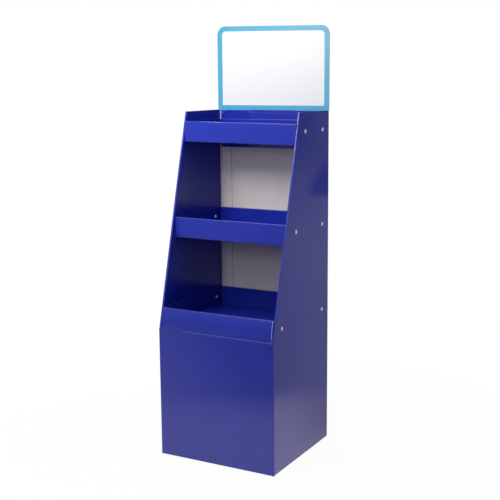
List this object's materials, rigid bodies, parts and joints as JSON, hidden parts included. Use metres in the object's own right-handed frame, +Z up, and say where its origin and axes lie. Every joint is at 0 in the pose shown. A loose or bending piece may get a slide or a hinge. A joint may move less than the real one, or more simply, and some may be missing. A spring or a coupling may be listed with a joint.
{
  "type": "cardboard display stand",
  "caption": "Free-standing display stand folded from blue corrugated board, with a closed plinth, stepped open trays between sloping sides, and a rounded header card.",
  "frame": {"origin": "on the floor, under the middle of the stand's outside width and depth", "axes": "+X to the stand's right as seen from its front, +Y to its back panel, +Z up"},
  "size_m": [0.4524, 0.43, 1.497],
  "materials": {
    "printed_board": "blue print with a satin varnish on corrugated board",
    "header_board": "white coated corrugated board",
    "rivet_plastic": "white moulded plastic"
  },
  "bodies": {
    "root": {"body_wrap": "printed_board", "left_side": "printed_board", "top_tray": "printed_board", "middle_tray": "printed_board", "bottom_tray": "printed_board", "header_card": "header_board", "snap_rivets": "rivet_plastic"}
  },
  "joints": []
}
